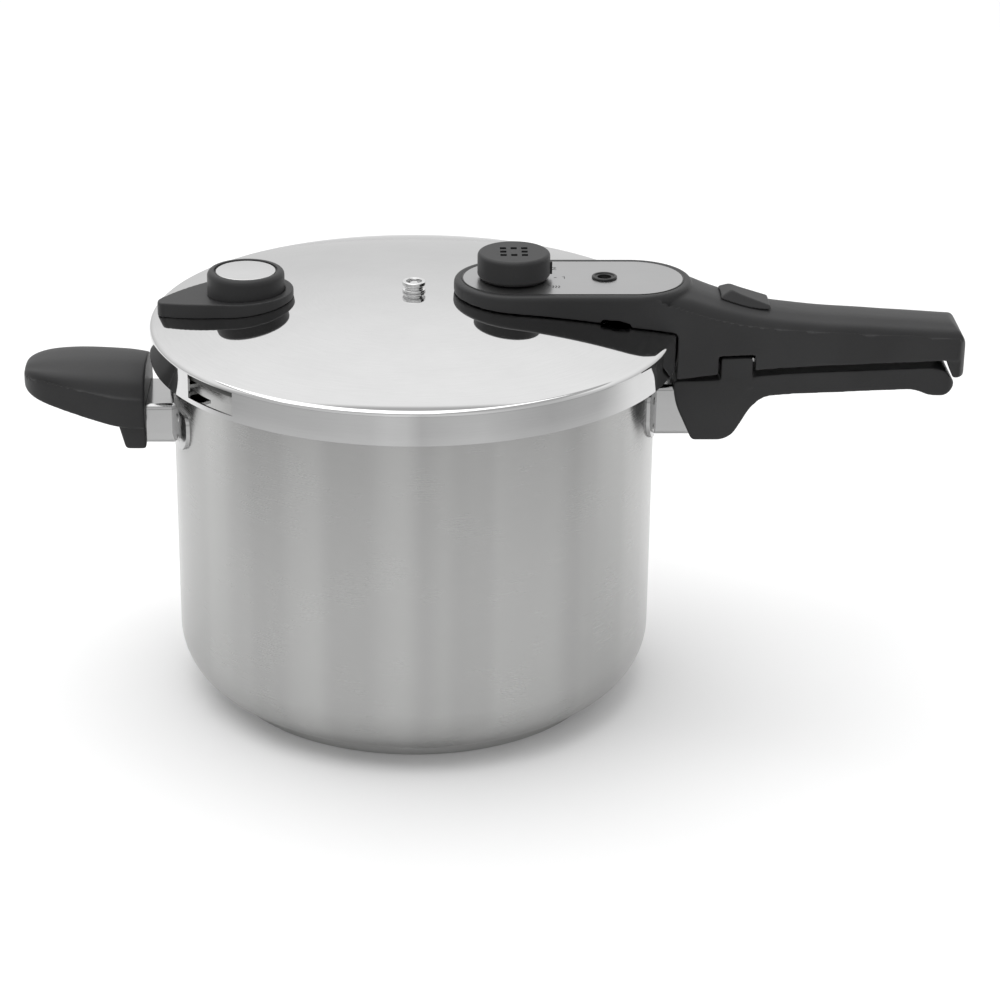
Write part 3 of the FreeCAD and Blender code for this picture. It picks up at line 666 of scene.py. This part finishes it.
class LidShell(Piece):
    """The domed lid as one finely turned surface, with its skirt, lugs and window."""

    DOME_ROWS = 30
    BEND_ROWS = 12

    def __init__(self, frame: dict[str, Any], sizes: LidSizes) -> None:
        """Keeps the sizes.

        Args:
            sizes: The shell's sizes.
        """
        super().__init__(frame)
        self.sizes = sizes

    def side(self, offset: float) -> list[tuple[float, float]]:
        """The outline of one side of the sheet, from near the centre to the foot.

        Args:
            offset: How far outward from the outer surface.

        Returns:
            Points as (radius, height).
        """
        sizes = self.sizes
        outer, bend, dome = sizes.outer + offset, sizes.shoulder + offset, sizes.dome + offset
        base = sizes.apex - sizes.dome
        bend_z = base + math.sqrt((dome - bend) ** 2 - (outer - bend) ** 2)
        lean = math.atan2(outer - bend, bend_z - base)
        window_low, window_high = sizes.window_levels
        window_turn = math.asin((window_high - bend_z) / bend)
        shares = (0.004, *(k / self.DOME_ROWS for k in range(1, self.DOME_ROWS + 1)))
        dome_turns = [lean * share for share in shares]
        points = [(dome * math.sin(turn), base + dome * math.cos(turn)) for turn in dome_turns]
        upright = math.pi / 2 - lean
        steps = [k / self.BEND_ROWS for k in range(1, self.BEND_ROWS + 1)]
        bends = [upright + (window_turn - upright) * step for step in steps]
        points += [(outer - bend + bend * math.cos(turn), bend_z + bend * math.sin(turn)) for turn in bends]
        return points + [(outer, bend_z), (outer, window_low), (outer, sizes.foot)]

    def build(self) -> None:
        """Makes the shell and hides the plain one."""
        sizes = self.sizes
        low_turn, high_turn = sizes.window_turns
        turns = [float(k) for k in range(360)]
        turns[round(low_turn)] = low_turn
        turns[round(high_turn)] = high_turn
        shape = bmesh.new()
        gaps = self.gaps(turns)
        outer = self.surface(shape, 0.0, turns, gaps)
        inner = self.surface(shape, -sizes.wall, turns, gaps)
        for k in range(len(turns)):
            following = (k + 1) % len(turns)
            shape.faces.new((outer[k][-1], outer[following][-1], inner[following][-1], inner[k][-1]))
        for k, row in gaps:
            following = (k + 1) % len(turns)
            sides = {
                ((k - 1) % len(turns), row): ((k, row), (k, row + 1)),
                (following, row): ((following, row), (following, row + 1)),
                (k, row - 1): ((k, row), (following, row)),
                (k, row + 1): ((k, row + 1), (following, row + 1)),
            }
            for beyond, ((k1, row1), (k2, row2)) in sides.items():
                if beyond not in gaps and beyond[1] >= 0:
                    shape.faces.new((outer[k1][row1], outer[k2][row2], inner[k2][row2], inner[k1][row1]))
        bmesh.ops.delete(shape, geom=[vert for vert in shape.verts if not vert.link_faces], context="VERTS")
        for k in range(sizes.lugs):
            angle = sizes.lug_phase + k * 360 / sizes.lugs
            ring_sector(shape, (sizes.lug_inner, sizes.outer - 0.3), sizes.lug_levels, angle, sizes.lug_span)
        bmesh.ops.scale(shape, vec=(MM, MM, MM), verts=shape.verts)
        shell = self.fit(to_object("lid_dome", shape), "lid", Finish.MIRROR_STEEL)
        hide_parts("lid_shell")

    def gaps(self, turns: list[float]) -> dict[tuple[int, int], tuple[float, float] | None]:
        """Finds which cells of the sheet are open.

        Args:
            turns: Plan angles of the columns, in degrees.

        Returns:
            The round hole, or None for the window, of each open (column, row).
        """
        outline = self.side(0.0)
        first, last = (turns.index(turn) for turn in self.sizes.window_turns)
        found = {}
        for k in range(len(turns)):
            for row in range(len(outline) - 4, len(outline) - 2):
                if first <= k < last:
                    found[k, row] = None
            turn = math.radians(turns[k] + 0.5)
            for row in range(self.DOME_ROWS):
                reach = (outline[row][0] + outline[row + 1][0]) / 2
                for hole in self.sizes.holes:
                    if math.hypot(reach * math.cos(turn) - hole[0], reach * math.sin(turn)) < hole[1]:
                        found[k, row] = hole
        return found

    def surface(
        self,
        shape: bmesh.types.BMesh,
        offset: float,
        turns: list[float],
        gaps: dict[tuple[int, int], tuple[float, float] | None],
    ) -> list[list[bmesh.types.BMVert]]:
        """Turns one side of the sheet about the vertical axis, leaving the window and holes open.

        Args:
            shape: Where the faces go.
            offset: How far outward from the outer surface.
            turns: Plan angles of the columns, in degrees.
            gaps: The open cells.

        Returns:
            The vertices, by column and then by row.
        """
        outline = self.side(offset)
        dome = self.sizes.dome + offset
        base = self.sizes.apex - self.sizes.dome
        columns = []
        for turn in turns:
            across, along = math.cos(math.radians(turn)), math.sin(math.radians(turn))
            columns.append([shape.verts.new((r * across, r * along, z)) for r, z in outline])
        for (k, row), hole in gaps.items():
            if hole is None:
                continue
            sides = (columns[k], columns[(k + 1) % len(columns)])
            for vert in (side[level] for side in sides for level in (row, row + 1)):
                away = Vector((vert.co.x - hole[0], vert.co.y)).normalized() * hole[1]
                x, y = hole[0] + away.x, away.y
                vert.co = (x, y, base + math.sqrt(dome * dome - x * x - y * y))
        for k, column in enumerate(columns):
            following = columns[(k + 1) % len(columns)]
            for row in range(len(outline) - 1):
                if (k, row) not in gaps:
                    shape.faces.new((column[row], column[row + 1], following[row + 1], following[row]))
        return columns


@dataclass(frozen=True)
class PlateSizes:
    """Sizes of what is set into and printed on the control plate, in millimetres."""

    top: float = 196.0
    left: float = 45.0
    right: float = 98.5
    radius: float = 23.1
    seam: float = 0.32
    ink: float = 0.05
    stroke: float = 0.42
    dial: float = 19.4
    tick: float = 1.2
    figures: float = 22.6
    spread: float = 34.0
    indicator: float = 86.0


class Plate(Piece):
    """Seam, dial marks and the indicator's rings on the control plate."""

    DIGITS = {
        1: [[(-0.5, 0.9), (0.3, 1.5), (0.3, -1.5)]],
        2: [[(-0.9, 0.9), (-0.4, 1.5), (0.5, 1.5), (0.9, 0.8), (-0.9, -1.5), (1.0, -1.5)]],
    }
    STEAM = [[(x, -1.7), (x - 0.45, -0.8), (x + 0.3, 0.2), (x - 0.2, 1.5)] for x in (-1.3, 0.0, 1.3)]

    def __init__(self, frame: dict[str, Any], sizes: PlateSizes) -> None:
        """Keeps the sizes.

        Args:
            sizes: The plate's sizes.
        """
        super().__init__(frame)
        self.sizes = sizes

    def build(self) -> None:
        """Makes the seam, the marks and the rings."""
        self.seam()
        self.marks()
        self.rings()

    def seam(self) -> None:
        """The dark joint round the plate."""
        sizes = self.sizes
        route = []
        for centre, start in ((sizes.right, -90), (sizes.left, 90)):
            for step in range(33):
                turn = math.radians(start + 180 * step / 32)
                here = (centre + sizes.radius * math.cos(turn), sizes.radius * math.sin(turn), sizes.top)
                route.append(Vector(here) * MM)
        shape = bmesh.new()
        sweep(shape, route, round_section(sizes.seam * MM, 8, 0.4), closed=True)
        self.fit(to_object("plate_seam", shape), "lid", Finish.BEZEL)

    def marks(self) -> None:
        """Three plain dial marks beside the knob: one, two and steam."""
        sizes = self.sizes
        shape = bmesh.new()
        spread = sizes.spread
        marks = ((spread, self.DIGITS[2]), (0.0, self.DIGITS[1]), (-spread, self.STEAM))
        for angle, strokes in marks:
            turn = math.radians(angle)
            centre = (sizes.left + sizes.figures * math.cos(turn), sizes.figures * math.sin(turn))
            self.draw(shape, centre, strokes)
            ends = (sizes.dial - sizes.tick, sizes.dial)
            tick = [(sizes.left + reach * math.cos(turn), reach * math.sin(turn)) for reach in ends]
            self.draw(shape, (0.0, 0.0), [tick])
        self.fit(to_object("dial_marks", shape), "lid", Finish.BEZEL)

    def draw(
        self, shape: bmesh.types.BMesh, centre: tuple[float, float], strokes: list[list[tuple[float, float]]]
    ) -> None:
        """Adds thin raised strokes on the plate.

        Args:
            shape: Where the faces go.
            centre: Middle of the mark.
            strokes: Lines of points about that middle.
        """
        sizes = self.sizes
        half, ink = sizes.stroke / 2 * MM, sizes.ink * MM
        section = [(-half, -ink), (half, -ink), (half, ink), (-half, ink)]
        for stroke in strokes:
            route = [Vector((centre[0] + x, centre[1] + y, sizes.top)) * MM for x, y in stroke]
            sweep(shape, route, section)

    def rings(self) -> None:
        """The indicator's outer ring and its lighter inner ring."""
        sizes = self.sizes
        middle = Vector((sizes.indicator, 0.0, sizes.top + 0.45)) * MM
        lower = middle - Vector((0, 0, 0.25 * MM))
        outer = bmesh.new()
        sweep(outer, circle(middle, 5.0 * MM, 64), round_section(0.75 * MM, 12, 0.7), closed=True)
        self.fit(to_object("indicator_ring", outer), "lid", Finish.BEZEL)
        inner = bmesh.new()
        sweep(inner, circle(lower, 3.55 * MM, 64), round_section(0.42 * MM, 10), closed=True)
        self.fit(to_object("indicator_collar", inner), "lid", Finish.INNER_PLASTIC)


@dataclass(frozen=True)
class WeldSizes:
    """Sizes of the brackets' spot welds, in millimetres and degrees."""

    face: float = 111.5
    radius: float = 2.2
    rise: float = 0.25
    sides: int = 24
    main_turns: tuple[float, float] = (-14.0, 14.0)
    main_levels: tuple[float, float] = (134.0, 146.5)
    helper_turns: tuple[float, float] = (162.0, 198.0)
    helper_levels: tuple[float, float] = (131.5, 141.5)


class Welds(Piece):
    """Spot welds that hold the two handle brackets to the pot."""

    def __init__(self, frame: dict[str, Any], sizes: WeldSizes) -> None:
        """Keeps the sizes.

        Args:
            sizes: The welds' sizes.
        """
        super().__init__(frame)
        self.sizes = sizes

    def build(self) -> None:
        """Makes both groups of welds."""
        sizes = self.sizes
        self.group("main_bracket_welds", sizes.main_turns, sizes.main_levels)
        self.group("helper_bracket_welds", sizes.helper_turns, sizes.helper_levels)

    def group(self, name: str, turns: Sequence[float], levels: Sequence[float]) -> None:
        """Makes the welds of one bracket.

        Args:
            name: The piece's name.
            turns: Plan angles in degrees.
            levels: Heights.
        """
        sizes = self.sizes
        shape = bmesh.new()
        radius, rise = sizes.radius, sizes.rise
        profile = [(radius, -0.1), (radius * 0.8, rise * 0.7), (radius * 0.4, rise)]
        for turn in turns:
            outward = Vector((math.cos(math.radians(turn)), math.sin(math.radians(turn)), 0))
            beside = Vector((0, 0, 1)).cross(outward)
            for level in levels:
                centre = outward * sizes.face + Vector((0, 0, level))
                rows = []
                for reach, lift in profile:
                    rim = [
                        centre + beside * spot.x + Vector((0, 0, spot.y)) + outward * lift
                        for spot in circle(Vector(), reach, sizes.sides)
                    ]
                    rows.append([shape.verts.new(spot * MM) for spot in rim])
                for first, second in zip(rows, rows[1:]):
                    for k in range(sizes.sides):
                        following = (k + 1) % sizes.sides
                        shape.faces.new((first[k], first[following], second[following], second[k]))
                shape.faces.new(rows[-1])
        self.fit(to_object(name, shape, 60.0), "pot", Finish.BASE_STEEL)


# ---------------------------------------------------------------- studio


@dataclass
class Studio:
    """Pale floor, graded surroundings and a soft overhead light."""

    floor_half: float = 7.0
    floor_level: float = 0.93
    # Painted light and shade: level and reach of the banded far front part of the floor
    painted_band_level: float = 0.64
    painted_band_reach: tuple[float, float] = (0.34, 0.56)
    horizon: float = 0.80
    crest: float = 1.26
    crest_rise: float = 0.70
    ceiling: float = 0.62
    front_bands: tuple[tuple[float, float], ...] = (
        (0.00, 0.70), (0.10, 0.72), (0.136, 0.74), (0.20, 0.56), (0.26, 0.60), (0.34, 0.76), (0.415, 0.84),
        (0.455, 0.90), (0.472, 1.00), (0.492, 0.98), (0.508, 0.80), (0.52, 0.84), (0.572, 0.92), (0.62, 0.78),
        (0.65, 0.72), (0.717, 0.78), (0.78, 0.72), (0.828, 0.62), (0.906, 0.74), (1.00, 0.70),
    )
    band_top: float = 0.75
    lamp_size: tuple[float, float] = (2.4, 2.0)
    lamp_place: tuple[float, float, float] = (-0.3, 0.1, 1.9)
    lamp_target: tuple[float, float, float] = (0.0, 0.0, 0.15)
    lamp_power: float = 27.0

    def build(self) -> None:
        """Makes the floor, the surroundings and the light."""
        self.floor()
        self.surroundings()
        self.overhead()

    def floor(self) -> None:
        """A pale floor under the cooker, with painted light and dark bands by direction on its far front
        part, which the pot's steel mirrors.
        """
        shape = bmesh.new()
        bmesh.ops.create_grid(shape, x_segments=2, y_segments=2, size=self.floor_half)
        floor = to_object("floor", shape)
        paint = Paint("pale_floor", Roughness=0.9, Specular_IOR_Level=0.1)
        x, y, _ = paint.parts(paint.place())
        reach = (x * x + y * y).combine("SQRT")
        front = paint.ramp(y * -1.0, -0.10, 0.15)
        # Painted light and shade: a far ring in front of the cooker is darkened in bands by direction,
        # standing in for the surroundings seen mirrored in the pot
        painted_band_share = paint.ramp(reach, *self.painted_band_reach) * front
        cast = paint.noise(paint.place(), 3.0) * 0.01
        level = self.floor_level * (1.0 - painted_band_share) + self.bands(paint, x, y) * self.painted_band_level * painted_band_share + cast
        paint.feed("Base Color", paint.node("ShaderNodeCombineColor", {0: level, 1: level, 2: level}))
        floor.data.materials.append(paint.material)

    def bands(self, graph: Graph, x: Signal, y: Signal) -> Signal:
        """Brightness by direction round the cooker.

        Args:
            graph: The tree that gets the nodes.
            x: Distance to the right.
            y: Distance to the back.

        Returns:
            The level, where the brightest direction is 1.
        """
        turn = x.combine("ARCTAN2", y * -1.0) / (2 * math.pi) + 0.5
        bands = graph.node("ShaderNodeValToRGB", {0: turn}, stops=self.front_bands)
        return graph.node("ShaderNodeRGBToBW", {0: bands})

    def surroundings(self) -> None:
        """A sky that brightens towards mid height at the back, with soft upright bands at the front."""
        world = bpy.data.worlds.new("studio")
        world.use_nodes = True
        bpy.context.scene.world = world
        graph = Graph(world.node_tree)
        x, y, z = graph.parts(graph.node("ShaderNodeTexCoord", output="Generated"))
        rise = graph.ramp(z, 0.0, self.crest_rise, self.horizon, self.crest)
        top = graph.ramp(z, self.crest_rise - 0.01, self.crest_rise + 0.02)
        back = rise * (1.0 - top) + self.ceiling * top
        level = self.bands(graph, x, y)
        height = graph.ramp(z, self.band_top - 0.2, self.band_top)
        front = level * (1.0 - height) + self.ceiling * height
        share = graph.ramp(y, -0.25, 0.1)
        strength = front * (1.0 - share) + back * share
        background = graph.node("ShaderNodeBackground", {"Color": (1.0, 1.0, 1.0), "Strength": strength})
        graph.node("ShaderNodeOutputWorld", {0: background})

    def overhead(self) -> None:
        """A large soft light above."""
        data = bpy.data.lights.new("overhead", "AREA")
        data.shape = "RECTANGLE"
        data.size, data.size_y = self.lamp_size
        data.energy = self.lamp_power
        light = bpy.data.objects.new("overhead", data)
        light.location = self.lamp_place
        aim = Vector(self.lamp_target) - light.location
        light.rotation_euler = aim.to_track_quat("-Z", "Y").to_euler()
        bpy.context.scene.collection.objects.link(light)


@dataclass
class Shot:
    """The camera."""

    distance: float = 1.23834
    height: float = 0.62023
    tilt: float = 66.686
    lens: float = 104.0
    shift: float = 0.086

    def build(self) -> None:
        """Makes the scene's camera."""
        data = bpy.data.cameras.new("camera")
        data.lens = self.lens
        data.sensor_width = 36.0
        data.shift_x = self.shift
        data.clip_end = 40.0
        camera = bpy.data.objects.new("camera", data)
        camera.location = (0.0, -self.distance, self.height)
        camera.rotation_euler = (math.radians(self.tilt), 0.0, 0.0)
        bpy.context.scene.collection.objects.link(camera)
        bpy.context.scene.camera = camera
        bpy.context.scene.view_settings.view_transform = "Standard"


def main() -> None:
    """Builds everything in order."""
    logging.basicConfig(level=logging.INFO, format="%(name)s: %(message)s")
    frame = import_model()
    Shot().build()
    Studio().build()
    dress = CadDress(frame)
    dress.dress()
    dress.soften()
    LidShell(frame, LidSizes()).build()
    Plate(frame, PlateSizes()).build()
    Welds(frame, WeldSizes()).build()


if __name__ == "__main__":
    main()
